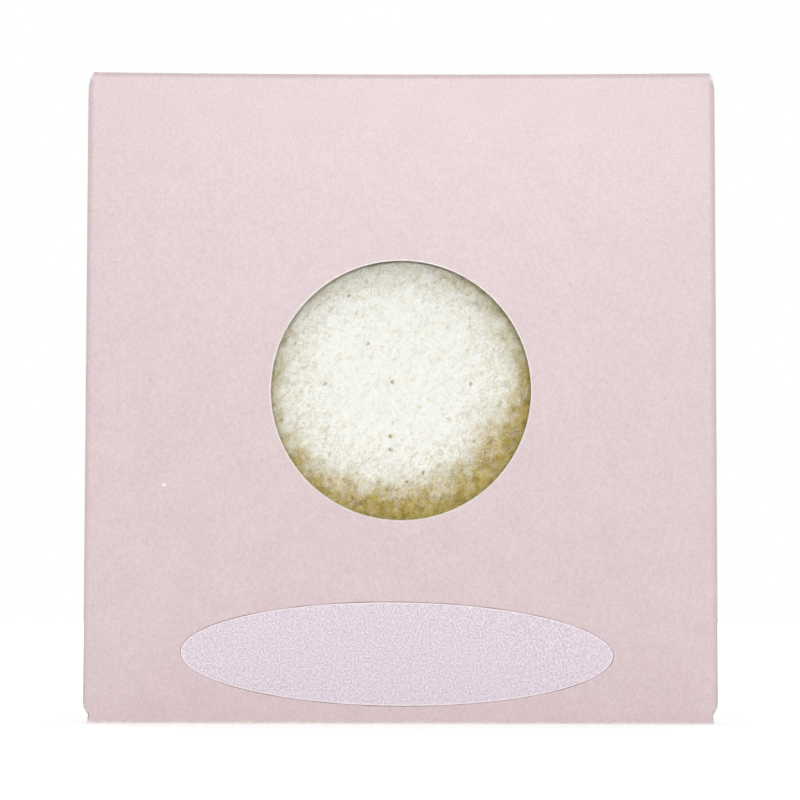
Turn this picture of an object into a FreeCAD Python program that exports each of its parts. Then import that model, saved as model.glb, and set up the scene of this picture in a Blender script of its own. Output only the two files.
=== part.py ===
import FreeCAD, Part
import math
import os

# A half-ball sponge in a reverse tuck end carton of folded board, with a round window and an oval sticker.
# Millimetres. The origin is the middle of the base, +X is to the right, the front faces -Y and +Z is up.

# Sponge
sponge_diameter = 80.0
sponge_thickness = 35.0
sponge_rim_radius = 5.0        # rounding between the dome and the flat back

# Room that the carton leaves round the sponge
sponge_side_clearance = 2.05   # to each side wall
sponge_window_gap = 0.8        # from the top of the dome to the front wall
sponge_back_clearance = 5.3    # from the flat back to the back wall
sponge_seat_gap = 0.3          # above the bottom lid
sponge_headroom = 6.8          # below the top lid

# Folded board
board = 0.45                   # thickness
crease_inner_radius = 0.35     # inside of a folded crease

# Window in the front wall
window_diameter = 35.0
window_centre_height = 44.7

# Lids and tuck flaps, alike at both ends
lid_side_clearance = 0.5       # lid's edge, back from the outer face of a side wall
tuck_length = 11.0             # from the lid's outer face to the flap's free edge
tuck_clearance = 1.2           # from the flap to the wall that it is tucked behind
tuck_side_clearance = 1.0      # flap's edge, back from the lid's edge
tuck_corner_radius = 6.0

# Dust flaps, alike at both ends
dust_flap_length = 18.0        # from the outer face of the side wall
dust_flap_gap = 0.65           # between the lid and the dust flap
dust_shoulder = 0.7            # flap's edge, back from the corner crease on the lid's hinge side
dust_hinge_taper = 0.85        # run of that edge away from the lid's hinge, per length of flap
dust_tuck_clearance = 0.5      # flap's other edge, back from the tuck flap
dust_tuck_taper = 0.27         # run of that edge away from the tuck flap, per length of flap
dust_corner_radius = 3.0

# Glued seam at the back left corner
glue_flap_width = 12.0
glue_flap_end_taper = 3.5      # flap's free edge is this much shorter at each end
seam_setback = 0.5             # left wall's raw edge, forward of the back wall's outer face

# Sticker on the front wall
sticker_width = 58.0
sticker_height = 14.0
sticker_thickness = 0.1
sticker_centre_x = -0.5
sticker_centre_height = 9.3
sticker_tilt = 0.5             # degrees, right end down

# Derived sizes
crease_radius = crease_inner_radius + board
carton_width = sponge_diameter + 2 * (sponge_side_clearance + board)
carton_depth = sponge_thickness + sponge_window_gap + sponge_back_clearance + 2 * board
carton_height = sponge_diameter + sponge_seat_gap + sponge_headroom + 2 * board
right = carton_width / 2
back = carton_depth / 2
top = carton_height
dust_level = top - board - dust_flap_gap       # outer face of the top dust flaps
wall_top = dust_level - crease_radius          # side walls end here, and at the same distance from the base
wall_bottom = top - wall_top
tuck_face = back - board - tuck_clearance      # outer face of the top tuck flap
lid_half_width = right - lid_side_clearance
glue_face = -right + board                     # outer face of the glue flap, on the inside of the left wall

same_place = 1e-6                              # two points nearer than this are one point

LEFT = FreeCAD.Vector(-1, 0, 0)
RIGHT = FreeCAD.Vector(1, 0, 0)
FRONT = FreeCAD.Vector(0, -1, 0)
BACK = FreeCAD.Vector(0, 1, 0)
UP = FreeCAD.Vector(0, 0, 1)


def block(x_range, y_range, z_range):
    """A box between two values on each axis."""
    low = FreeCAD.Vector(x_range[0], y_range[0], z_range[0])
    size = FreeCAD.Vector(x_range[1], y_range[1], z_range[1]) - low
    return Part.makeBox(size.x, size.y, size.z, low)


def crease(centre, first_face, second_face, run):
    """A quarter turn of board about centre, between the walls that face those two ways, swept along run."""
    middle = (first_face + second_face).normalize()
    edges = []
    for radius in (crease_radius, crease_inner_radius):
        ends = [centre + way * radius for way in (first_face, middle, second_face)]
        edges.append(Part.Arc(*ends).toShape())
    for way in (first_face, second_face):
        edges.append(Part.makeLine(centre + way * crease_inner_radius, centre + way * crease_radius))
    wire = Part.Wire(Part.__sortEdges__(edges))
    return Part.Face(wire).extrude(run)


def joined(first, *others):
    """One solid from pieces of board that meet face to face."""
    return first.fuse(list(others)).removeSplitter().Solids[0]


def plate(points, corner_points, corner_radius, thickness):
    """A flat outline extruded by thickness, with the corners at corner_points rounded."""
    solid = Part.Face(Part.makePolygon(points + points[:1])).extrude(thickness)
    rounded = []
    for edge in solid.Edges:
        across = edge.tangentAt(edge.FirstParameter).cross(thickness).Length
        gaps = [edge.distToShape(Part.Vertex(point))[0] for point in corner_points]
        if across < same_place and min(gaps) < same_place:
            rounded.append(edge)
    return solid.makeFillet(corner_radius, rounded).Solids[0]


def side_crease(x_centre, y_centre, first_face, second_face):
    """An upright corner crease between two walls."""
    start = FreeCAD.Vector(x_centre, y_centre, wall_bottom)
    return crease(start, first_face, second_face, UP * (wall_top - wall_bottom))


def front_panel():
    """Flat front wall between the corner creases, with a raw edge at the base and the window."""
    inner = right - crease_radius
    flat = block((-inner, inner), (-back, -back + board), (0, top - crease_radius))
    window_start = FreeCAD.Vector(0, -back - board, window_centre_height)
    window = Part.makeCylinder(window_diameter / 2, 3 * board, window_start, BACK)
    return flat.cut(window).Solids[0]


def back_panel():
    """Flat back wall between the corner creases, with a raw edge at the top."""
    across = (glue_face + crease_radius, right - crease_radius)
    return block(across, (back - board, back), (crease_radius, top))


def left_panel():
    """Left wall with the front corner crease, glued over the glue flap, and a raw edge at the back."""
    deep = (-back + crease_radius, back - seam_setback)
    flat = block((-right, -right + board), deep, (wall_bottom, wall_top))
    return joined(flat, side_crease(-right + crease_radius, -back + crease_radius, FRONT, LEFT))


def right_panel():
    """Right wall with the creases of both its corners."""
    deep = (-back + crease_radius, back - crease_radius)
    flat = block((right - board, right), deep, (wall_bottom, wall_top))
    front_corner = side_crease(right - crease_radius, -back + crease_radius, FRONT, RIGHT)
    back_corner = side_crease(right - crease_radius, back - crease_radius, BACK, RIGHT)
    return joined(flat, front_corner, back_corner)


def glue_flap():
    """Flap of the back wall with its crease, glued to the inside of the left wall, with tapered ends."""
    near = back - crease_radius
    far = back - glue_flap_width
    points = [
        FreeCAD.Vector(glue_face, near, wall_bottom),
        FreeCAD.Vector(glue_face, far, wall_bottom + glue_flap_end_taper),
        FreeCAD.Vector(glue_face, far, wall_top - glue_flap_end_taper),
        FreeCAD.Vector(glue_face, near, wall_top),
    ]
    flat = Part.Face(Part.makePolygon(points + points[:1])).extrude(RIGHT * board)
    return joined(flat, side_crease(glue_face + crease_radius, near, LEFT, BACK))


def top_lid():
    """Top panel with its hinge crease at the front and the crease of the tuck flap at the back."""
    span = (-lid_half_width, lid_half_width)
    run = RIGHT * (2 * lid_half_width)
    flat = block(span, (-back + crease_radius, tuck_face - crease_radius), (top - board, top))
    hinge_centre = FreeCAD.Vector(-lid_half_width, -back + crease_radius, top - crease_radius)
    tuck_centre = FreeCAD.Vector(-lid_half_width, tuck_face - crease_radius, top - crease_radius)
    return joined(flat, crease(hinge_centre, FRONT, UP, run), crease(tuck_centre, UP, BACK, run))


def top_tuck_flap():
    """Flap below the tuck crease, with rounded free corners."""
    half_width = lid_half_width - tuck_side_clearance
    high = top - crease_radius
    low = top - tuck_length
    folded = [FreeCAD.Vector(x, tuck_face, high) for x in (-half_width, half_width)]
    free = [FreeCAD.Vector(x, tuck_face, low) for x in (half_width, -half_width)]
    return plate(folded + free, free, tuck_corner_radius, FRONT * board)


def top_dust_flap_right():
    """Flap of the right wall under the lid, tapered to clear the lid and the tuck flap as they open."""
    start = right - crease_radius
    end = right - dust_flap_length
    reach = start - end
    hinge_edge = -back + crease_radius + dust_shoulder
    tuck_edge = tuck_face - board - dust_tuck_clearance
    folded = [FreeCAD.Vector(start, y, dust_level) for y in (hinge_edge, tuck_edge)]
    free = [
        FreeCAD.Vector(end, tuck_edge - dust_tuck_taper * reach, dust_level),
        FreeCAD.Vector(end, hinge_edge + dust_hinge_taper * reach, dust_level),
    ]
    flat = plate(folded + free, free, dust_corner_radius, UP * -board)
    centre = FreeCAD.Vector(start, hinge_edge, wall_top)
    return joined(flat, crease(centre, UP, RIGHT, BACK * (tuck_edge - hinge_edge)))


def mirrored(shape):
    """The same piece on the other side of the carton."""
    return shape.mirror(FreeCAD.Vector(0, 0, 0), RIGHT)


def turned_over(shape):
    """The same piece at the other end of the carton: a reverse tuck end is its own half turn about X."""
    copy = shape.copy()
    copy.rotate(FreeCAD.Vector(0, 0, top / 2), RIGHT, 180)
    return copy


def oval_sticker():
    """Thin oval on the front wall, a little askew."""
    centre = FreeCAD.Vector(sticker_centre_x, -back, sticker_centre_height)
    tilt = math.radians(sticker_tilt)
    right_end = FreeCAD.Vector(math.cos(tilt), 0, -math.sin(tilt)) * (sticker_width / 2)
    upper_end = FreeCAD.Vector(math.sin(tilt), 0, math.cos(tilt)) * (sticker_height / 2)
    oval = Part.Ellipse(centre + right_end, centre + upper_end, centre)
    return Part.Face(Part.Wire(oval.toShape())).extrude(FRONT * sticker_thickness)


def konjac_sponge():
    """Half-ball standing on its edge, dome towards the window and flat back towards the back wall."""
    radius = sponge_diameter / 2
    apex = -back + board + sponge_window_gap
    flat_back = apex + sponge_thickness
    height = board + sponge_seat_gap + radius
    # The dome is part of a ball that is tangent to the rim's rounding.
    rim_out = radius - sponge_rim_radius
    rim_depth = sponge_thickness - sponge_rim_radius
    ball_radius = (rim_out**2 + rim_depth**2 - sponge_rim_radius**2) / (2 * (rim_depth - sponge_rim_radius))
    ball_centre = FreeCAD.Vector(0, apex + ball_radius, height)
    rim_centre = FreeCAD.Vector(0, flat_back - sponge_rim_radius, height + rim_out)
    outward = (rim_centre - ball_centre).normalize()
    apex_point = FreeCAD.Vector(0, apex, height)
    tangent_point = ball_centre + outward * ball_radius
    rim_end = rim_centre + BACK * sponge_rim_radius
    back_point = FreeCAD.Vector(0, flat_back, height)
    dome = Part.Arc(apex_point, ball_centre + (outward + FRONT).normalize() * ball_radius, tangent_point)
    rim = Part.Arc(tangent_point, rim_centre + (outward + BACK).normalize() * sponge_rim_radius, rim_end)
    flat = Part.makeLine(rim_end, back_point)
    axis = Part.makeLine(back_point, apex_point)
    profile = Part.Face(Part.Wire([dome.toShape(), rim.toShape(), flat, axis]))
    return profile.revolve(back_point, BACK, 360)


def carton_end():
    """The pieces that close one end of the carton, as they are at the top."""
    dust_flap = top_dust_flap_right()
    return {
        "lid": top_lid(),
        "tuck_flap": top_tuck_flap(),
        "dust_flap_right": dust_flap,
        "dust_flap_left": mirrored(dust_flap),
    }


def all_pieces():
    """Every piece by its name."""
    pieces = {
        "front_panel": front_panel(),
        "back_panel": back_panel(),
        "left_panel": left_panel(),
        "right_panel": right_panel(),
        "glue_flap": glue_flap(),
        "oval_sticker": oval_sticker(),
        "konjac_sponge": konjac_sponge(),
    }
    for name, shape in carton_end().items():
        pieces["top_" + name] = shape
        pieces["bottom_" + name] = turned_over(shape)
    return pieces


os.makedirs("parts", exist_ok=True)
for piece_name, piece in all_pieces().items():
    piece.exportStep(os.path.join("parts", piece_name + ".step"))
    print(piece_name, piece.ShapeType, "valid" if piece.isValid() else "NOT VALID", round(piece.Volume, 2))
print("carton", round(carton_width, 3), "x", round(carton_depth, 3), "x", round(carton_height, 3))
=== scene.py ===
import math
import bmesh
import bpy
import numpy as np
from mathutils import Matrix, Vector, noise as perlin
from mathutils.kdtree import KDTree


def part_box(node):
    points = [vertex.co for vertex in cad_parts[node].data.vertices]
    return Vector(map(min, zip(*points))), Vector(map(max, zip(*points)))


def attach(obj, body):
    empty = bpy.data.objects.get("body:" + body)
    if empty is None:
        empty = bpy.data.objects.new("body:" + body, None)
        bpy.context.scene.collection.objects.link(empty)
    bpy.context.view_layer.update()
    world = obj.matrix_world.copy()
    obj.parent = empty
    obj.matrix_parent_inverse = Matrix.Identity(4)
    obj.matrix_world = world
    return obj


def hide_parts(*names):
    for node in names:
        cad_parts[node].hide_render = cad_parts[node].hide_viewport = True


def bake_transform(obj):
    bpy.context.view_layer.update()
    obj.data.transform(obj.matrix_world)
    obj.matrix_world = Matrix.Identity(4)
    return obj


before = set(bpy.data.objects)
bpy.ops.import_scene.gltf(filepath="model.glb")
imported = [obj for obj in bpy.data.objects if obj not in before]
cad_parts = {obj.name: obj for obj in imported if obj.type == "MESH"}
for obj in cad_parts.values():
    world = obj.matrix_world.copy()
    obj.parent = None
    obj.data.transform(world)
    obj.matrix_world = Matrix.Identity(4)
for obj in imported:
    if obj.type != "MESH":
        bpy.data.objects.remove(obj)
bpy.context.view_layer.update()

# A half-ball konjac sponge in a folded carton with a round window and an oval sticker.
# Lengths are in millimetres until a mesh is made.
mm = 0.001


def corners(node):
    """Lowest and highest corner of a CAD node, in millimetres."""
    return [np.round(np.array(corner) / mm, 3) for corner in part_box(node)]


front_low, front_high = corners("front_panel")
back_low, back_high = corners("back_panel")
left_high = corners("left_panel")[1]
right_low, right_high = corners("right_panel")
glue_low = corners("glue_flap")[0]
lid_high = corners("top_lid")[1]
tuck_low, tuck_high = corners("top_tuck_flap")
dust_low, dust_high = corners("top_dust_flap_right")
sticker_low, sticker_high = corners("oval_sticker")
sponge_low, sponge_high = corners("konjac_sponge")

# Sizes that follow from the frame
right = right_high[0]
front = front_low[1]
top = lid_high[2]
board = front_high[1] - front_low[1]
crease_radius = right - front_high[0]
crease_arc = crease_radius * math.pi / 2
wall_bottom = right_low[2]
wall_top = right_high[2]
lap = board                                        # flat board that goes with a moving crease
corner_strip = dust_low[1] - front - crease_radius  # flat board that goes with a corner crease

# Driving sizes that the boxes of the frame don't give
window_radius = 17.5
window_height = 44.7
tuck_corner_radius = 6.0
dust_corner_radius = 3.0
dust_hinge_taper = 0.85
dust_tuck_taper = 0.27
glue_taper = 3.5
sponge_rim_radius = 5.0
sticker_tilt = math.radians(0.5)
raw_bevel = 0.15                                   # crushed corner of a cut edge
sticker_rim = ((0.6, 0.01), (0.16, 0.04), (0.0, 0.05))  # distance from the edge, and lift off the wall
# width of the band round the sticker's edge that carries the painted shadow line
edge_shadow_width = 0.12
sticker_rings = (0.8, 0.55, 0.3, 0.15)              # flat rings, as shares in from the edge
lid_flare = 0.35                                   # lid that stands out at the ends of its crease
lid_corner_radius = 0.3
flare_radius = 0.1
tuck_step = 0.3                                    # from the crease to where the tuck flap narrows

# Outline of a wall past its corner crease: distance, height and corner radius
foot_notch = ((0.3, 0, 0.15), (-0.05, 0.9, 0.4), (0.15, 1.6, 0.4), (0.95, 2.8, 0.6))
shoulder = (1.05, wall_top + 0.4, 0.3)
neck_width = 0.75
neck_radius = 0.15

# How far the carton is out of true, and the heights between which that grows
bow_out = 0.12
top_lean = 0.22
lean_span = (top - 18, top + 6)
top_sag = 0.26
sag_span = (top - 14, top)
corner_pinch = 0.12
pinch_span = (top - 3.2, top - 0.6)
pinch_width = 2.5
board_wave = 0.05
wave_size = 17

# Meshes of the board
close = 0.01                                       # places nearer than this are the same
grid_step = 2
fine_step = 1
grid_half = 41
window_square = 19                                 # half side of what the window takes out of the grid
crease_steps = 9
crease_margin = 0.15                               # from a crease to the next line of the grid
corner_steps = 9

X = np.array((1.0, 0.0, 0.0))
Y = np.array((0.0, 1.0, 0.0))
Z = np.array((0.0, 0.0, 1.0))


# Random surfaces

def rough(points, size, seed, octaves=1):
    """Smooth random values, about -1 to 1, with features of that size in millimetres."""
    places = points / size + seed * np.array((37.13, 71.71, 13.37))
    return np.array([perlin.fractal(place, 1.0, 2.0, octaves) for place in places.tolist()])


def ramp(values, start, end):
    """0 before start, 1 after end and smooth in between."""
    share = np.clip((values - start) / (end - start), 0, 1)
    return share * share * (3 - 2 * share)


# Material nodes

def colour(red, green, blue):
    """A colour written as it looks on screen, 0 to 255."""
    levels = np.array((red, green, blue)) / 255
    linear = np.where(levels <= 0.04045, levels / 12.92, ((levels + 0.055) / 1.055) ** 2.4)
    return (*linear, 1.0)


def new_material(name):
    """A material with an empty Principled shader: the material, its nodes' tree and the shader."""
    material = bpy.data.materials.new(name)
    material.use_nodes = True
    return material, material.node_tree, material.node_tree.nodes["Principled BSDF"]


def add(tree, kind, inputs=None, **settings):
    """A node with its settings, and its inputs as values or as links from other nodes."""
    node = tree.nodes.new(kind)
    for name, value in settings.items():
        setattr(node, name, value)
    for name, value in (inputs or {}).items():
        socket = node.inputs[name]
        if isinstance(value, bpy.types.NodeSocket):
            tree.links.new(value, socket)
        else:
            socket.default_value = value
    return node


def noise(tree, size, detail=2.0, roughness=0.5):
    """Values from 0 to 1 in the object's own space, with features of that size in millimetres."""
    place = add(tree, "ShaderNodeTexCoord").outputs["Object"]
    inputs = {"Vector": place, "Scale": 1 / (size * mm), "Detail": detail, "Roughness": roughness}
    return add(tree, "ShaderNodeTexNoise", inputs).outputs["Fac"]


def span(tree, value, low, high, to_low, to_high):
    """A value's range between low and high, carried to another range."""
    inputs = {"Value": value, "From Min": low, "From Max": high, "To Min": to_low, "To Max": to_high}
    return add(tree, "ShaderNodeMapRange", inputs).outputs["Result"]


def mix(tree, share, first, second):
    """Two colours mixed by a share."""
    node = add(tree, "ShaderNodeMix", data_type="RGBA")
    for socket, value in ((node.inputs[0], share), (node.inputs[6], first), (node.inputs[7], second)):
        if isinstance(value, bpy.types.NodeSocket):
            tree.links.new(value, socket)
        else:
            socket.default_value = value
    return node.outputs[2]


def calc(tree, operation, first, second):
    """One operation on two values."""
    return add(tree, "ShaderNodeMath", {0: first, 1: second}, operation=operation).outputs[0]


def bump(tree, height, depth, strength):
    """A surface roughened by height, depth millimetres deep."""
    inputs = {"Height": height, "Distance": depth * mm, "Strength": strength}
    return add(tree, "ShaderNodeBump", inputs).outputs["Normal"]


def attribute(tree, name):
    """A value stored at the mesh's points."""
    return add(tree, "ShaderNodeAttribute", attribute_name=name).outputs["Fac"]


# Materials

def spot(tree, x, z, size):
    """A ragged mark on the front wall, 0 to 1."""
    place = add(tree, "ShaderNodeTexCoord").outputs["Object"]
    inputs = {0: place, 1: (x * mm, front * mm, z * mm)}
    gap = add(tree, "ShaderNodeVectorMath", inputs, operation="DISTANCE").outputs["Value"]
    ragged = calc(tree, "MULTIPLY", noise(tree, 0.5, 2), 1.4 * size * mm)
    return span(tree, calc(tree, "ADD", gap, ragged), 0.9 * size * mm, 1.2 * size * mm, 1, 0)


def printed_board():
    """Pale pink print on carton board with a satin coat, a fine grain, worn white along the cuts."""
    material, tree, shader = new_material("printed_board")
    cloud = span(tree, noise(tree, 5, 3, 0.6), 0.3, 0.7, 0, 1)
    tone = mix(tree, cloud, colour(222, 203, 207), colour(226, 208, 208))
    grain = span(tree, noise(tree, 0.36, 2, 0.6), 0.3, 0.7, 0, 0.2)
    tone = mix(tree, grain, tone, colour(150, 118, 126))
    patchy = span(tree, noise(tree, 1.5, 3), 0.3, 0.7, 0.55, 1.25)
    worn = calc(tree, "MULTIPLY", attribute(tree, "wear"), patchy)
    tone = mix(tree, span(tree, worn, 0.55, 0.95, 0, 0.85), tone, colour(252, 249, 247))
    tone = mix(tree, spot(tree, -31.8, 31.9, 0.6), tone, colour(250, 247, 246))
    tone = mix(tree, spot(tree, 40.3, 75.2, 0.3), tone, colour(120, 100, 104))
    tree.links.new(tone, shader.inputs["Base Color"])
    sheen = span(tree, noise(tree, 0.8, 3), 0.3, 0.7, 0.27, 0.33)
    tree.links.new(sheen, shader.inputs["Roughness"])
    relief = bump(tree, noise(tree, 0.4, 3, 0.6), 0.02, 0.4)
    tree.links.new(relief, shader.inputs["Normal"])
    return material


def uncoated_board():
    """Inside of the carton: bare off-white board with soft grey and straw flecks."""
    material, tree, shader = new_material("uncoated_board")
    cloud = span(tree, noise(tree, 3, 4), 0.3, 0.7, 0, 1)
    tone = mix(tree, cloud, colour(230, 225, 216), colour(239, 236, 229))
    fleck = span(tree, noise(tree, 0.8, 3), 0.66, 0.74, 0, 0.35)
    tone = mix(tree, fleck, tone, colour(186, 170, 146))
    tree.links.new(tone, shader.inputs["Base Color"])
    shader.inputs["Roughness"].default_value = 0.85
    relief = bump(tree, noise(tree, 0.5, 4, 0.6), 0.04, 0.4)
    tree.links.new(relief, shader.inputs["Normal"])
    return material


def raw_edge():
    """Cut edge of the board: pale fibre with thin layers."""
    material, tree, shader = new_material("raw_edge")
    fibre = span(tree, noise(tree, 0.25, 3), 0.3, 0.7, 0, 1)
    tone = mix(tree, fibre, colour(236, 229, 222), colour(251, 249, 246))
    tree.links.new(tone, shader.inputs["Base Color"])
    shader.inputs["Roughness"].default_value = 0.9
    relief = bump(tree, noise(tree, 0.2, 3), 0.03, 0.5)
    tree.links.new(relief, shader.inputs["Normal"])
    return material


def sticker_paper():
    """Matt lilac paper with a tooth that shows as a light and dark grain."""
    material, tree, shader = new_material("sticker_paper")
    grain = span(tree, noise(tree, 0.24, 2, 0.6), 0.3, 0.7, 0, 1)
    tone = mix(tree, grain, colour(198, 182, 195), colour(250, 240, 248))
    tree.links.new(tone, shader.inputs["Base Color"])
    shader.inputs["Roughness"].default_value = 0.75
    relief = bump(tree, noise(tree, 0.3, 2, 0.6), 0.04, 0.4)
    tree.links.new(relief, shader.inputs["Normal"])
    return material


def rim_highlight():
    """Painted highlight: a white band along the top of the sticker's raised rim."""
    material, tree, shader = new_material("rim_highlight")
    # noise varies the painted highlight
    fibre = span(tree, noise(tree, 0.4, 3), 0.3, 0.7, 0, 1)
    tone = mix(tree, fibre, colour(236, 226, 232), colour(252, 248, 250))
    tree.links.new(tone, shader.inputs["Base Color"])
    shader.inputs["Roughness"].default_value = 0.85
    return material


def edge_shadow_line():
    """Painted shadow: a thin dark line round the sticker's edge and under it, patchy in its darkness."""
    material, tree, shader = new_material("edge_shadow_line")
    # noise makes the painted shadow line patchy, lighter and darker
    dust = span(tree, noise(tree, 5, 4), 0.38, 0.62, 0, 1)
    tone = mix(tree, dust, colour(212, 190, 194), colour(150, 112, 117))
    tree.links.new(tone, shader.inputs["Base Color"])
    shader.inputs["Roughness"].default_value = 0.7
    return material


def konjac():
    """Dry konjac: white felt with flecks; painted shade, cream where the felt is low and brown in the pits;
    khaki by the mesh's khaki value, painted shade in a ring round the crown and a cream tint further out.
    """
    material, tree, shader = new_material("konjac")
    # Painted shade in the felt: cream where the felt is low, mottled by fine noise
    fine = calc(tree, "SUBTRACT", noise(tree, 0.26, 3, 0.65), 0.5)
    hollow_shade = calc(tree, "SUBTRACT", 0.55, attribute(tree, "felt"))
    hollow_shade = calc(tree, "ADD", calc(tree, "MULTIPLY", hollow_shade, 0.6), fine)
    cream = span(tree, hollow_shade, -0.25, 0.35, 0, 1)
    white = mix(tree, cream, colour(248, 249, 244), colour(223, 219, 195))
    fleck = span(tree, noise(tree, 0.9, 4, 0.7), 0.53, 0.7, 0, 0.42)
    white = mix(tree, fleck, white, colour(214, 206, 160))
    # two tones of khaki, mixed by noise, for the painted shade ring and the cream tint
    tint = span(tree, noise(tree, 1.1, 3), 0.3, 0.7, 0, 1)
    khaki = mix(tree, tint, colour(192, 172, 96), colour(150, 126, 48))
    # the painted shade of the felt's low places also deepens the khaki
    uneven = calc(tree, "MULTIPLY", hollow_shade, 0.75)
    share = calc(tree, "ADD", calc(tree, "MULTIPLY", attribute(tree, "khaki"), 1.15), uneven)
    tone = mix(tree, span(tree, share, 0.1, 1.05, 0, 1), white, khaki)
    # Painted shade in the pits: brownish, darker the deeper the pit
    pit = attribute(tree, "pit")
    tone = mix(tree, span(tree, pit, 0, 0.6, 0, 0.75), tone, colour(176, 158, 104))
    tone = mix(tree, span(tree, pit, 0.6, 1, 0, 0.9), tone, colour(126, 102, 54))
    tree.links.new(tone, shader.inputs["Base Color"])
    shader.inputs["Roughness"].default_value = 0.95
    shader.inputs["Specular IOR Level"].default_value = 0.15
    relief = bump(tree, noise(tree, 0.25, 3, 0.6), 0.06, 0.5)
    tree.links.new(relief, shader.inputs["Normal"])
    return material


# Board

def bend(distance):
    """Way along and across a crease, and the board's tilt, at a distance past the crease's start."""
    tilt = np.clip(distance / crease_radius, 0, math.pi / 2)
    along = np.minimum(distance, 0) + crease_radius * np.sin(tilt)
    across = np.maximum(distance - crease_arc, 0) + crease_radius * (1 - np.cos(tilt))
    return along, across, tilt


def folded(start, forward, inward, run, distance, sideways):
    """Points and normals of board that leaves start forwards and turns inwards round a crease."""
    along, across, tilt = bend(distance)
    points = start + np.outer(along, forward) + np.outer(across, inward) + np.outer(sideways, run)
    normals = np.outer(np.sin(tilt), forward) - np.outer(np.cos(tilt), inward)
    return points, normals


def turned_over(points):
    """The same points at the other end of the carton, a half turn about X."""
    return points * (1, -1, -1) + top * Z


def settled(points):
    """The carton a little out of true: bowed walls, a sagging, leaning and pinched top, uneven board."""
    x, y, z = points.T
    across = 1 - (x / right) ** 2
    bow = bow_out * across * np.sin(math.pi * np.clip(z / top, 0, 1)) * y / -front
    lean = top_lean * ramp(z, *lean_span) * np.clip(y / front, 0, 1)
    sag = -top_sag * across * ramp(z, *sag_span) * (0.6 - 0.4 * y / -front)
    wave = board_wave * rough(points, wave_size, 1)
    pinch = corner_pinch * ramp(z, *pinch_span) * ramp(np.abs(x), right - pinch_width, right)
    moved = points.copy()
    moved[:, 0] -= pinch * np.sign(x)
    moved[:, 1] += bow + lean + wave * np.clip(y / front, -1, 1)
    moved[:, 2] += sag
    return moved


def rounded(points):
    """An outline whose corners, given as u, v and radius, are rounded."""
    outline = []
    for i, (u, v, radius) in enumerate(points):
        corner = np.array((u, v))
        if radius == 0:
            outline.append(corner)
            continue
        before = np.array(points[i - 1][:2]) - corner
        after = np.array(points[(i + 1) % len(points)][:2]) - corner
        first = corner + before / np.linalg.norm(before) * radius
        last = corner + after / np.linalg.norm(after) * radius
        for share in np.linspace(0, 1, corner_steps):
            outline.append((1 - share) ** 2 * first + 2 * share * (1 - share) * corner + share**2 * last)
    return outline


def cut_blank(outline, lines_u, lines_v):
    """A flat piece of board in u and v, cut along a grid so that it can bend."""
    blank = bmesh.new()
    blank.faces.new([blank.verts.new((u, v, 0)) for u, v in outline])
    for way, lines in ((Vector(X), lines_u), (Vector(Y), lines_v)):
        for line in lines:
            everything = blank.verts[:] + blank.edges[:] + blank.faces[:]
            bmesh.ops.bisect_plane(blank, geom=everything, dist=1e-5, plane_co=way * line, plane_no=way)
    return blank


def open_window(blank, half_side):
    """Takes a square out of the grid and fills it up to the round window."""
    centre = Vector((0, window_height, 0))

    def near(place, reach):
        return max(abs(place.x - centre.x), abs(place.y - centre.y)) < reach

    inside = [face for face in blank.faces if near(face.calc_center_median(), half_side)]
    bmesh.ops.delete(blank, geom=inside, context="FACES")
    border = [edge for edge in blank.edges if edge.is_boundary and near(edge.verts[0].co, half_side + close)]
    for radius in (window_radius + 2 * raw_bevel, window_radius):
        rim = {}
        for vert in {vert for edge in border for vert in edge.verts}:
            rim[vert] = blank.verts.new(centre + (vert.co - centre).normalized() * radius)
        following = []
        for edge in border:
            loop = edge.link_loops[0]
            first, second = loop.vert, loop.link_loop_next.vert
            blank.faces.new((second, first, rim[first], rim[second]))
            following.append(blank.edges.get((rim[first], rim[second])))
        border = following


def edge_ways(blank, is_raw):
    """For each vert, the way out of the board across its cut edges, or zero inside and at a seam."""
    least_spread = 0.3                             # keeps the way short at a sharp corner
    ways = {vert: [] for vert in blank.verts}
    for edge in blank.edges:
        if edge.is_boundary and is_raw((edge.verts[0].co + edge.verts[1].co) / 2):
            loop = edge.link_loops[0]
            run = (loop.link_loop_next.vert.co - loop.vert.co).normalized()
            for vert in edge.verts:
                ways[vert].append(Vector((run.y, -run.x)))
    out = []
    for vert in blank.verts:
        found = ways[vert]
        total = sum(found, Vector((0, 0)))
        if len(found) == 2:
            total = total / max(1 + found[0].dot(found[1]), least_spread)
        out.append(total)
    return np.array(out)


def thickened(blank, place, is_raw):
    """The blank folded in space as a closed solid: points, faces, each face's kind of surface, and wear."""
    blank.normal_update()
    blank.verts.index_update()
    flat = np.array([vert.co.xy for vert in blank.verts])
    ways = edge_ways(blank, is_raw)
    inset = flat - raw_bevel * ways
    outer, outer_way = place(*inset.T)
    edge, edge_way = place(*flat.T)
    count = len(flat)
    upper_rim = edge - raw_bevel * edge_way
    lower_rim = edge - (board - raw_bevel) * edge_way
    layers = [outer, upper_rim, lower_rim, outer - board * outer_way]
    faces = []
    kinds = []
    for face in blank.faces:
        ring = [vert.index for vert in face.verts]
        faces += [ring, [3 * count + i for i in reversed(ring)]]
        kinds += [0, 1]
    for boundary in (edge for edge in blank.edges if edge.is_boundary):
        loop = boundary.link_loops[0]
        first, second = loop.vert.index, loop.link_loop_next.vert.index
        for level in range(3):
            upper, lower = level * count, (level + 1) * count
            faces.append([second + upper, first + upper, first + lower, second + lower])
            kinds.append(2)
    wear = np.tile(np.minimum(np.linalg.norm(ways, axis=1), 1), len(layers))
    return np.concatenate(layers), faces, kinds, wear


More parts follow.
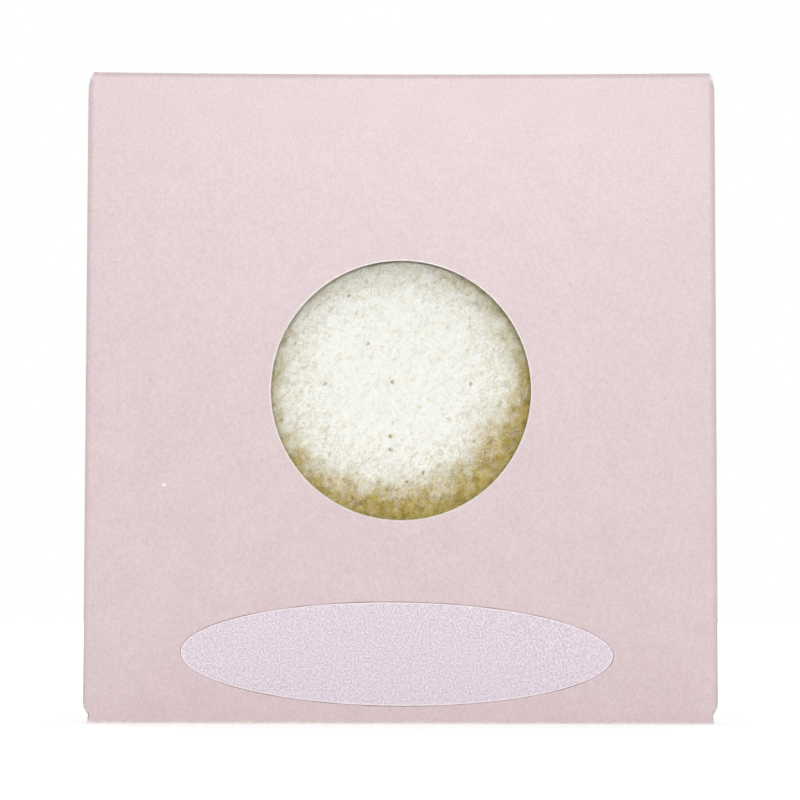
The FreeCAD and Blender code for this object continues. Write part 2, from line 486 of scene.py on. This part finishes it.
def mesh_object(name, points, faces, materials, kinds=None, sharp=35, values=None):
    """An object from points in millimetres, smooth except at sharp edges, with its normals outwards."""
    mesh = bpy.data.meshes.new(name)
    mesh.from_pydata(points * mm, [], faces)
    for value_name, numbers in (values or {}).items():
        stored = mesh.attributes.new(value_name, "FLOAT", "POINT")
        stored.data.foreach_set("value", numbers.astype(np.float32))
    for material in materials:
        mesh.materials.append(material)
    if kinds is not None:
        mesh.polygons.foreach_set("material_index", kinds)
    tidy = bmesh.new()
    tidy.from_mesh(mesh)
    bmesh.ops.delete(tidy, geom=[vert for vert in tidy.verts if not vert.link_faces], context="VERTS")
    bmesh.ops.recalc_face_normals(tidy, faces=tidy.faces[:])
    tidy.to_mesh(mesh)
    tidy.free()
    mesh.shade_smooth()
    mesh.set_sharp_from_angle(angle=math.radians(sharp))
    made = bpy.data.objects.new(name, mesh)
    bpy.context.scene.collection.objects.link(made)
    return made


def board_piece(name, node, blank, place, is_raw, bottom=False):
    """A piece of folded board that stands for a CAD node."""
    points, faces, kinds, wear = thickened(blank, place, is_raw)
    if bottom:
        points = turned_over(points)
    piece = mesh_object(name, settled(points), faces, board_materials, kinds, values={"wear": wear})
    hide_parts(node)
    return piece


def crease_lines(start):
    """Grid lines round a crease that starts there."""
    end = start + crease_arc
    bend_lines = start + np.linspace(0, crease_arc, crease_steps)
    return np.concatenate(([start - crease_margin], bend_lines, [end + crease_margin]))


def wall(name, node, flat_left, flat_right, step, windowed, back):
    """Front or back wall with the creases of both its corners, between a cut edge and a lid's crease."""
    end = crease_arc + corner_strip
    seam = top - crease_radius - lap
    corner = [*foot_notch, (end, wall_bottom, 0), (end, wall_top, 0)]
    corner += [shoulder, (neck_width, seam, neck_radius), (0, seam, 0)]
    outline = [(flat_right + u, v, radius) for u, v, radius in corner]
    outline += [(-flat_left - u, v, radius) for u, v, radius in reversed(corner)]
    lines_u = np.arange(-grid_half, grid_half + 1, step)
    lines_u = np.concatenate((lines_u, crease_lines(flat_right), -crease_lines(flat_left)))
    lines_v = np.concatenate(([3 * raw_bevel], np.arange(window_height % 1, seam, step)))
    blank = cut_blank(rounded(outline), lines_u, lines_v)
    if windowed:
        open_window(blank, window_square)

    def place(u, v):
        on_right = folded((flat_right, front, 0), X, Y, Z, u - flat_right, v)
        on_left = folded((-flat_left, front, 0), -X, Y, Z, -u - flat_left, v)
        return [np.where(u[:, None] > 0, a, b) for a, b in zip(on_right, on_left)]

    def is_raw(middle):
        at_side = middle.x > flat_right + end - close or middle.x < -flat_left - end + close
        return not at_side and middle.y < seam - close

    piece = board_piece(name, node, blank, place, is_raw, back)
    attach(piece, "carton")


def side_wall(name, node, side):
    """Left or right wall between the strips of its corner creases and the creases of its dust flaps."""
    start = dust_low[1]
    end = left_high[1] if side < 0 else -start
    hinge_low, hinge_high = wall_bottom + lap, wall_top - lap
    short = dust_high[1]
    outline = [(start, wall_bottom), (-short, wall_bottom), (-short, hinge_low), (-start, hinge_low)]
    if side < 0:
        outline += [(-start, wall_bottom), (end, wall_bottom)]
    outline += [(end, wall_top), (short, wall_top), (short, hinge_high), (start, hinge_high)]
    blank = cut_blank(outline, np.arange(-19, 20, grid_step), np.arange(4, 85, grid_step))

    def place(u, v):
        return folded((side * right, 0, top), Z, -side * X, Y, v - top, u)

    def is_raw(middle):
        at_end = min(abs(middle.y - wall_bottom), abs(middle.y - wall_top)) < close
        return at_end or (side < 0 and middle.x > end - close)

    piece = board_piece(name, node, blank, place, is_raw)
    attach(piece, "carton")


def glue_seam():
    """Flap inside the left wall, glued to it, with tapered ends."""
    near, far = -dust_low[1], glue_low[1]
    outline = [(far, wall_bottom + glue_taper), (near, wall_bottom)]
    outline += [(near, wall_top), (far, wall_top - glue_taper)]
    blank = cut_blank(outline, np.arange(far + grid_step, near, grid_step), np.arange(8, 81, 3))

    def place(u, v):
        return folded((glue_low[0], 0, top), Z, X, Y, v - top, u)

    def is_raw(middle):
        return middle.x < near - close

    piece = board_piece("glue_seam", "glue_flap", blank, place, is_raw)
    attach(piece, "carton")


def lid(end_name, wall_left):
    """Lid with the crease that it turns on."""
    bottom = end_name == "bottom"
    half = lid_high[0]
    reach = tuck_high[1] - crease_radius - lap - (front + crease_radius) + crease_arc
    flare = half + lid_flare
    outline = [(-wall_left, -lap, 0), (front_high[0], -lap, 0), (flare, -lap, flare_radius)]
    outline += [(half, crease_arc, lid_corner_radius), (half, reach, 0), (-half, reach, 0)]
    outline += [(-half, crease_arc, lid_corner_radius), (-flare, -lap, flare_radius)]
    lines_v = np.concatenate((crease_lines(0), np.arange(crease_arc + grid_step, reach, grid_step)))
    edge_line = half - 0.4
    lines_u = np.concatenate(([-edge_line], np.arange(-40, 41, grid_step), [edge_line]))
    blank = cut_blank(rounded(outline), lines_u, lines_v)

    def place(u, v):
        return folded((0, front, top - crease_radius), Z, Y, X, v, u)

    def is_raw(middle):
        at_wall = middle.y < close - lap and abs(middle.x) < half
        return middle.y < reach - close and not at_wall

    piece = board_piece("lid_" + end_name, end_name + "_lid", blank, place, is_raw, bottom)
    crease = [np.array((0, front, top - crease_radius)), np.array((0, front + crease_radius, top))]
    blend(piece, crease, bottom)


def past_crease(middle):
    """Whether an edge of a flap is a cut one: all of them are, except where the flap joins its carrier."""
    return middle.y > close - lap


def tuck(end_name):
    """Tuck flap with the crease that joins it to its lid, and rounded free corners."""
    bottom = end_name == "bottom"
    start = tuck_high[1] - crease_radius
    half = tuck_high[0]
    reach = crease_arc + top - crease_radius - tuck_low[2]
    wide = lid_high[0]
    outline = [(-wide, -lap, 0), (wide, -lap, 0), (wide, crease_arc, 0), (half, crease_arc + tuck_step, 0)]
    outline += [(half, reach, tuck_corner_radius), (-half, reach, tuck_corner_radius)]
    outline += [(-half, crease_arc + tuck_step, 0), (-wide, crease_arc, 0)]
    lines_v = np.concatenate((crease_lines(0), np.arange(crease_arc + fine_step, reach, fine_step)))
    blank = cut_blank(rounded(outline), np.arange(-40, 41, grid_step), lines_v)

    def place(u, v):
        return folded((0, start, top), Y, -Z, X, v, u)

    piece = board_piece("tuck_" + end_name, end_name + "_tuck_flap", blank, place, past_crease, bottom)
    crease = [np.array((0, start, top)), np.array((0, start + crease_radius, top - crease_radius))]
    blend(piece, crease, bottom)


def dust_flap(end_name, side_name, side):
    """Dust flap with the crease that joins it to its side wall, tapered, with rounded free corners."""
    bottom = end_name == "bottom"
    hinge, far = dust_low[1], dust_high[1]
    flat = dust_high[0] - crease_radius - dust_low[0]
    reach = crease_arc + flat
    outline = [(hinge, -lap, 0), (far, -lap, 0), (far, crease_arc, 0)]
    outline += [(far - dust_tuck_taper * flat, reach, dust_corner_radius)]
    outline += [(hinge + dust_hinge_taper * flat, reach, dust_corner_radius), (hinge, crease_arc, 0)]
    lines_v = np.concatenate((crease_lines(0), np.arange(crease_arc + fine_step, reach, grid_step)))
    blank = cut_blank(rounded(outline), np.arange(-19, 19, grid_step), lines_v)

    def place(u, v):
        return folded((side * right, 0, wall_top), Z, -side * X, Y, v, u)

    body = end_name + "_dust_flap_" + side_name
    name = "dust_" + end_name + "_" + side_name
    piece = board_piece(name, body, blank, place, past_crease, bottom)
    start = np.array((side * right, 0, wall_top))
    crease = [start, start + crease_radius * (Z - side * X)]
    blend(piece, crease, bottom)


def blend(piece, crease, bottom):
    """Works out the ends of a piece's crease, turned over at the bottom, and bakes the piece's place into
    its mesh.
    """
    ends = np.array(crease)
    if bottom:
        ends = turned_over(ends)
    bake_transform(piece)


# Sticker

def sticker():
    """Thin oval of paper on the front wall, its rim a little raised."""
    centre = (sticker_low + sticker_high) / 2
    half_width, half_height = (sticker_high - sticker_low)[[0, 2]] / 2
    thickness = (sticker_high - sticker_low)[1]
    turns = np.linspace(0, 2 * math.pi, 240, endpoint=False)
    flat = [(half_width * (1 - share), half_height * (1 - share), thickness) for share in sticker_rings]
    rim = [(half_width - edge_shadow_width - inset, half_height - edge_shadow_width - inset, thickness + lift)
           for inset, lift in sticker_rim]
    levels = flat + rim + [(half_width, half_height, 0.0)]
    points = [(0.0, thickness, 0.0)]
    for reach_x, reach_z, height in levels:
        points += [(reach_x * math.cos(a), height, reach_z * math.sin(a)) for a in turns]
    points.append((0.0, 0.0, 0.0))
    count = len(turns)
    faces = []
    kinds = []
    for i in range(count):
        after = (i + 1) % count
        faces.append((0, 1 + i, 1 + after))
        kinds.append(0)
        for ring in range(len(levels) - 1):
            base = 1 + ring * count
            faces.append((base + i, base + count + i, base + count + after, base + after))
            kinds.append(max(0, ring + 4 - len(levels)))
        base = 1 + (len(levels) - 1) * count
        faces.append((base + after, base + i, len(points) - 1))
        kinds.append(2)
    x, height, z = np.array(points).T
    turned_x = x * math.cos(sticker_tilt) + z * math.sin(sticker_tilt) + centre[0]
    turned_z = z * math.cos(sticker_tilt) - x * math.sin(sticker_tilt) + centre[2]
    on_wall = settled(np.column_stack((turned_x, np.full(len(x), front), turned_z)))
    on_wall[:, 1] -= height
    # paper on top, a painted highlight along the raised rim, and a painted shadow line round the edge and
    # underneath
    piece = mesh_object("sticker", on_wall, faces, [sticker_paper(), rim_highlight(), edge_shadow_line()], kinds)
    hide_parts("oval_sticker")
    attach(piece, "carton")


# Sponge

sponge_centre = (sponge_low + sponge_high) / 2
sponge_radius = (sponge_high - sponge_low)[0] / 2
apex = sponge_low[1]
flat_back = sponge_high[1]
rim_out = sponge_radius - sponge_rim_radius
rim_depth = flat_back - apex - sponge_rim_radius
ball_radius = (rim_out**2 + rim_depth**2 - sponge_rim_radius**2) / (2 * (rim_depth - sponge_rim_radius))
ball_arc = ball_radius * math.atan2(rim_out, ball_radius - rim_depth)
rim_turn = math.pi - math.atan2(rim_out, ball_radius - rim_depth)
rim_end = ball_arc + sponge_rim_radius * rim_turn
girth = rim_end + rim_out                          # from the apex round the rim to the middle of the back
crown = np.array((sponge_centre[0] - 1.2, apex, window_height + 2.9))  # middle of the white part, where the painted shade is least

# The front is fuller than the ball, as if pressed on the wall: by this at the apex, by this share of the
# depth further out, and fading between these distances
press_at_apex = 0.4
press_share = 0.68
press_span = (15, 38)

# Khaki: painted shade by distance from the crown, a weak first step and then a ring; further out, by
# distance from the window, a mottled cream tint
cream_share = 0.3
cream_span = (6, 13)
khaki_span = (13, 20)
outside_span = (18.5, 31)
outside_tint = 0.36
outside_change = 0.16

# Surface
form_grid = 310
finest = 0.45                                      # spacing at the apex, as a share of an even one
felt_height = 0.3
pit_count = 3600
pit_cluster = 5
pit_spread = 1.2
pit_sizes = (0.06, 0.28)
pit_depth = 0.35
sunk_surface = 0.28                                # keeps the felt's tops inside the solid

# Fibres
front_fibres = 11000
back_fibres = 2000
fibre_lengths = (0.8, 2.6)
fibre_thickness = (0.025, 0.05)
fibre_heights = (-0.17, -0.03)                     # of a fibre's ends on the plain form
fibre_arch = 0.06
fibre_curl = 0.25
fibre_paler = (-0.55, 0.05)                        # change of the khaki value, painted shade and tint, against the sponge below


def profile(distance):
    """Radius, depth and normal of the solid at a distance from the apex, round the rim to the flat back."""
    on_ball = distance < ball_arc
    tilt = np.minimum(distance, ball_arc) / ball_radius
    tilt = tilt + np.clip(distance - ball_arc, 0, rim_end - ball_arc) / sponge_rim_radius
    rim = rim_out + sponge_rim_radius * np.sin(tilt) - np.maximum(distance - rim_end, 0)
    radius = np.where(on_ball, ball_radius * np.sin(tilt), rim)
    rim_height = flat_back - sponge_rim_radius * (1 + np.cos(tilt))
    depth = np.where(on_ball, apex + ball_radius * (1 - np.cos(tilt)), rim_height)
    return radius, depth, np.sin(tilt), -np.cos(tilt)


def on_sponge(x, z, from_back):
    """Points and normals of the half-ball, its crown pressed flat against the carton's front wall.

    The flat map that x and z are on is centred on the apex or on the back.
    """
    reach = np.hypot(x, z)
    safe = np.maximum(reach, 1e-9)
    radius, depth, normal_out, normal_y = profile(girth - reach if from_back else reach)
    sunk = ball_radius * (1 - np.cos(np.minimum(reach, ball_arc) / ball_radius))
    pressed = (press_at_apex + press_share * sunk) * (1 - ramp(reach, *press_span)) * (not from_back)
    points = np.stack((radius * x / safe, depth - pressed, radius * z / safe), axis=-1)
    ways = np.stack((normal_out * x / safe, normal_y, normal_out * z / safe), axis=-1)
    return points + (sponge_centre[0], 0, sponge_centre[2]), ways


def disc_grid(count):
    """A square grid of points spread over a disc of radius 1."""
    steps = np.linspace(-1, 1, count + 1)
    u, v = np.meshgrid(steps, steps, indexing="ij")
    return (u * np.sqrt(1 - v * v / 2)).ravel(), (v * np.sqrt(1 - u * u / 2)).ravel()


def sponge_form(count):
    """Points, normals and faces of the plain half-ball, finest round the apex."""
    x, z = disc_grid(count)
    spread = rim_end * (finest + (1 - finest) * (x * x + z * z))
    dome, dome_ways = on_sponge(spread * x, spread * z, False)
    back, back_ways = on_sponge(rim_out * x, rim_out * z, True)
    side = count + 1
    index = np.arange(side * side).reshape(side, side)
    behind = index + side * side
    edge = np.ones((side, side), bool)
    edge[1:-1, 1:-1] = False
    behind[edge] = index[edge]
    faces = []
    for grid in (index, behind):
        quads = np.stack((grid[:-1, :-1], grid[1:, :-1], grid[1:, 1:], grid[:-1, 1:]), axis=-1)
        faces += quads.reshape(-1, 4).tolist()
    return np.concatenate((dome, back)), np.concatenate((dome_ways, back_ways)), faces


def felted(points, length, width, ways, seed):
    """Crossing ridges from 0 to 1, like matted fibres of about that length and width in millimetres."""
    chooser = np.random.default_rng(seed)
    height = np.zeros(len(points))
    for way in range(ways):
        turn = np.linalg.qr(chooser.normal(size=(3, 3)))[0]
        stretched = points @ turn / (length, width, width)
        height = np.maximum(height, 1 - 3 * np.abs(rough(stretched, 1, seed + way)))
    return height


def pits(points, count, seed):
    """How deep each point lies in a pit, 0 to 1, for ragged pits in clusters over the sponge."""
    chooser = np.random.default_rng(seed)
    seeds = points[chooser.integers(0, len(points), count // pit_cluster)]
    centres = np.repeat(seeds, pit_cluster, axis=0)
    centres = centres + chooser.normal(0, pit_spread, centres.shape)
    sizes = chooser.uniform(*pit_sizes, len(centres))
    tree = KDTree(len(centres))
    for i, centre in enumerate(centres):
        tree.insert(centre, i)
    tree.balance()
    found = [tree.find(point) for point in points]
    gaps = np.array([hit[2] for hit in found]) / sizes[[hit[1] for hit in found]]
    return 1 - ramp(gaps + 1.2 * rough(points, 0.4, seed, 2), 0.0, 1.2)


def khaki_at(points):
    """How khaki the sponge is, 0 to 1: white on its crown, painted shade in a ragged khaki ring round it,
    then a cream tint further out.
    """
    wisp = 1.4 * rough(points, 5, 43, 3) + 1.8 * rough(points, 1.3, 22, 3)
    away = np.linalg.norm(points - crown, axis=-1)
    mottled = outside_tint + outside_change * ramp(rough(points, 14, 7, 2), -0.6, 0.6)
    out_of_window = np.hypot(points[:, 0] - sponge_centre[0], points[:, 2] - window_height)
    behind = points[:, 1] - apex
    outside = ramp(out_of_window + behind + 3 * rough(points, 9, 9, 3), *outside_span)
    # painted shade: a weak first step, then the full khaki ring
    cream = cream_share * ramp(away + wisp, *cream_span)
    ring = cream + (1 - cream_share) * ramp(away + wisp, *khaki_span)
    return ring * (1 - outside) + mottled * outside


def lumps(points):
    """Height of the sponge's soft lumps."""
    return 0.12 * rough(points, 8, 11, 2)


def sponge_body(material):
    """Matted, porous half-ball: lumps, felted ridges and small pits on the plain form."""
    points, ways, faces = sponge_form(form_grid)
    felt = np.maximum(felted(points, 3.0, 0.9, 4, 31), 0.8 * felted(points, 1.6, 0.5, 4, 41))
    pit = pits(points, pit_count, 15)
    height = lumps(points) + felt_height * felt - pit_depth * pit - sunk_surface
    values = {"khaki": khaki_at(points), "felt": felt, "pit": pit}
    moved = points + ways * height[:, None]
    piece = mesh_object("sponge_body", moved, faces, [material], None, 180, values)
    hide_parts("konjac_sponge")
    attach(piece, "sponge")


def fibre_lines(chooser, x, z, from_back):
    """Middle lines of fibres that start at places of a flat map: points and normals along each fibre."""
    steps = 5
    count = len(x)
    way = chooser.uniform(0, 2 * math.pi, count)
    curl = chooser.normal(0, fibre_curl, count)
    stride = chooser.uniform(*fibre_lengths, count) / (steps - 1)
    rise = chooser.uniform(*fibre_heights, count)
    points = np.zeros((count, steps, 3))
    normals = np.zeros((count, steps, 3))
    for step in range(steps):
        place, normals[:, step] = on_sponge(x, z, from_back)
        arch = rise + fibre_arch * math.sin(math.pi * step / (steps - 1)) + lumps(place)
        points[:, step] = place + arch[:, None] * normals[:, step]
        x = x + stride * np.cos(way)
        z = z + stride * np.sin(way)
        way = way + curl
    return points, normals


def tubes(points, normals, thickness):
    """Thin three-sided tubes along lines: points and faces."""
    count, steps = points.shape[:2]
    along = np.gradient(points, axis=1)
    along /= np.linalg.norm(along, axis=2, keepdims=True)
    across = np.cross(along, normals)
    taper = np.sin(math.pi * np.linspace(0.12, 0.88, steps))
    reach = (thickness[:, None] * taper)[..., None]
    turns = math.pi / 2 + 2 * math.pi / 3 * np.arange(3)
    sides = [points + reach * (math.cos(a) * across + math.sin(a) * normals) for a in turns]
    index = np.arange(count * steps * 3).reshape(count, steps, 3)
    after = np.roll(index, -1, axis=2)
    quads = np.stack((index[:, :-1], after[:, :-1], after[:, 1:], index[:, 1:]), axis=-1)
    caps = np.concatenate((index[:, 0, ::-1], index[:, -1]))
    return np.stack(sides, axis=2).reshape(-1, 3), quads.reshape(-1, 4).tolist() + caps.tolist()


def sponge_fibres(material):
    """Short curved fibres that lie matted on the sponge, densest in a ring round its apex."""
    chooser = np.random.default_rng(51)
    reach = np.linspace(0, rim_end, 2000)
    inner = 0.35 + 0.65 * ramp(reach, 5, 14)
    outer = 1 - 0.85 * ramp(reach, 22, 42)
    weight = np.cumsum(profile(reach)[0] * inner * outer)
    start = np.interp(chooser.uniform(0, weight[-1], front_fibres), weight, reach)
    turn = chooser.uniform(0, 2 * math.pi, len(start))
    front_lines = fibre_lines(chooser, start * np.cos(turn), start * np.sin(turn), False)
    start = rim_out * np.sqrt(chooser.uniform(0, 1, back_fibres))
    turn = chooser.uniform(0, 2 * math.pi, len(start))
    back_lines = fibre_lines(chooser, start * np.cos(turn), start * np.sin(turn), True)
    points, normals = (np.concatenate(pair) for pair in zip(front_lines, back_lines))
    thickness = chooser.uniform(*fibre_thickness, len(points))
    places, faces = tubes(points, normals, thickness)
    paler = np.repeat(chooser.uniform(*fibre_paler, len(points)), len(places) // len(points))
    khaki = np.clip(khaki_at(places) + paler, 0, 1)
    values = {"khaki": khaki, "felt": np.ones(len(places)), "pit": np.zeros(len(places))}
    piece = mesh_object("sponge_fibres", places, faces, [material], None, 180, values)
    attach(piece, "sponge")


# Stage

def floor():
    """Pale floor that keeps the shadow near the object and is plain white to the camera further off."""
    shadow_reach = 0.15
    plain_reach = 0.5
    least_glow = 0.45
    bpy.ops.mesh.primitive_plane_add(size=6.0)
    plane = bpy.context.object
    plane.name = "floor"
    material, tree, shader = new_material("floor")
    shader.inputs["Base Color"].default_value = (0.9, 0.9, 0.9, 1)
    shader.inputs["Roughness"].default_value = 1.0
    glow = add(tree, "ShaderNodeEmission", {"Color": (1, 1, 1, 1), "Strength": 1.5})
    seen = add(tree, "ShaderNodeLightPath").outputs["Is Camera Ray"]
    place = add(tree, "ShaderNodeTexCoord").outputs["Object"]
    away = add(tree, "ShaderNodeVectorMath", {0: place}, operation="LENGTH").outputs["Value"]
    share = calc(tree, "MULTIPLY", seen, span(tree, away, shadow_reach, plain_reach, least_glow, 1))
    both = add(tree, "ShaderNodeMixShader", {0: share, 1: shader.outputs[0], 2: glow.outputs[0]})
    tree.links.new(both.outputs[0], tree.nodes["Material Output"].inputs["Surface"])
    plane.data.materials.append(material)


def sky():
    """Even white light, and plain white behind the object."""
    world = bpy.data.worlds.new("sky")
    bpy.context.scene.world = world
    world.use_nodes = True
    tree = world.node_tree
    light = tree.nodes["Background"]
    light.inputs["Strength"].default_value = 0.36
    white = add(tree, "ShaderNodeBackground", {"Color": (1, 1, 1, 1), "Strength": 1.0})
    light.inputs["Color"].default_value = (1, 1, 1, 1)
    path = add(tree, "ShaderNodeLightPath")
    shown = path.outputs["Is Camera Ray"]
    for ray in ("Is Glossy Ray", "Is Transmission Ray"):
        shown = calc(tree, "MAXIMUM", shown, path.outputs[ray])
    both = add(tree, "ShaderNodeMixShader", {0: shown, 1: light.outputs[0], 2: white.outputs[0]})
    tree.links.new(both.outputs[0], tree.nodes["World Output"].inputs["Surface"])


def lamp(name, place, aim, width, height, power):
    """A soft lamp that shines at a point. Lengths are in millimetres."""
    light = bpy.data.lights.new(name, "AREA")
    light.shape = "RECTANGLE"
    light.size = width * mm
    light.size_y = height * mm
    light.energy = power
    made = bpy.data.objects.new(name, light)
    bpy.context.scene.collection.objects.link(made)
    made.location = Vector(place) * mm
    made.rotation_euler = (Vector(aim) - Vector(place)).to_track_quat("-Z", "Y").to_euler()
    return made


def camera():
    """The photograph's view: in front, a little below the middle, looking slightly up."""
    view_distance = 400.0
    view_height = 43.35
    view_rise = math.radians(4.0)
    frame_width = 107.6
    roll = math.radians(0.1)
    sensor = 36
    aim = Vector((-0.13, front, view_height))
    place = aim - view_distance * Vector((0, 1, math.tan(view_rise)))
    lens = bpy.data.cameras.new("camera")
    lens.sensor_width = sensor
    lens.lens = sensor * (aim - place).length / frame_width
    made = bpy.data.objects.new("camera", lens)
    bpy.context.scene.collection.objects.link(made)
    made.location = place * mm
    made.rotation_euler = (aim - place).to_track_quat("-Z", "Y").to_euler()
    made.rotation_euler.rotate_axis("Z", roll)
    lens.clip_start = 0.01
    bpy.context.scene.camera = made


board_materials = [printed_board(), uncoated_board(), raw_edge()]
bpy.context.scene.view_settings.view_transform = "Standard"
camera()
sky()
floor()
middle = (0, 0, 45)
lamp("key", (0, -800, 28), middle, 300, 48, 3.2).visible_glossy = False
lamp("sheen", (40, -1200, 420), middle, 420, 420, 3.0).visible_diffuse = False
lamp("top", (0, 120, 900), (0, 120, 0), 200, 200, 1.7).visible_glossy = False
lamp("fill_left", (-800, 900, 450), middle, 500, 500, 6.0).visible_glossy = False
lamp("fill_right", (800, 900, 450), middle, 500, 500, 6.0).visible_glossy = False

wall("front_wall", "front_panel", front_high[0], front_high[0], fine_step, True, False)
wall("back_wall", "back_panel", -back_low[0], back_high[0], grid_step, False, True)
side_wall("left_wall", "left_panel", -1)
side_wall("right_wall", "right_panel", 1)
glue_seam()
for end in ("top", "bottom"):
    lid(end, front_high[0] if end == "top" else -back_low[0])
    tuck(end)
    dust_flap(end, "left", -1)
    dust_flap(end, "right", 1)
sticker()
konjac_material = konjac()
sponge_body(konjac_material)
sponge_fibres(konjac_material)
